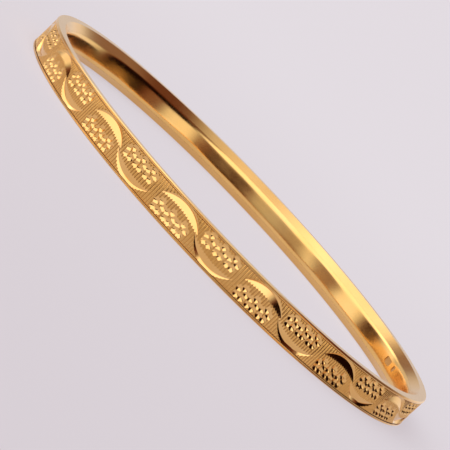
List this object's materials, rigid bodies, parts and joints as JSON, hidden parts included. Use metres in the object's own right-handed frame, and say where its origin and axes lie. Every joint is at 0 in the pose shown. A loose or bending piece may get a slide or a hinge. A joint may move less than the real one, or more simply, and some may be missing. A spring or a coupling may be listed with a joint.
{
  "type": "bangle bracelet",
  "caption": "Rigid round bangle: a cut outer strip and a smooth crowned lining held between two bevelled rims around a core ring.",
  "frame": {"origin": "middle of the ring, level with the lower rim's flat, which is the face the bangle lies on", "axes": "+Z along the ring's axis, away from the surface it lies on; +Y through the seam of the outer strip, -Y through the seam of the lining"},
  "size_m": [0.0646, 0.0646, 0.0043],
  "materials": {
    "satin_gold": "gold-toned strip, cross-ribbed and bright-cut",
    "lining_gold": "gold-toned, mirror polished",
    "rim_gold": "gold-toned, turned and polished",
    "core_metal": "plain drawn brass, hidden",
    "solder": "hard solder, filed flush"
  },
  "bodies": {
    "root": {"outer_strip": "satin_gold", "inner_lining": "lining_gold", "upper_rim": "rim_gold", "lower_rim": "rim_gold", "core_ring": "core_metal", "outer_seam": "solder", "inner_seam": "solder"}
  },
  "joints": []
}
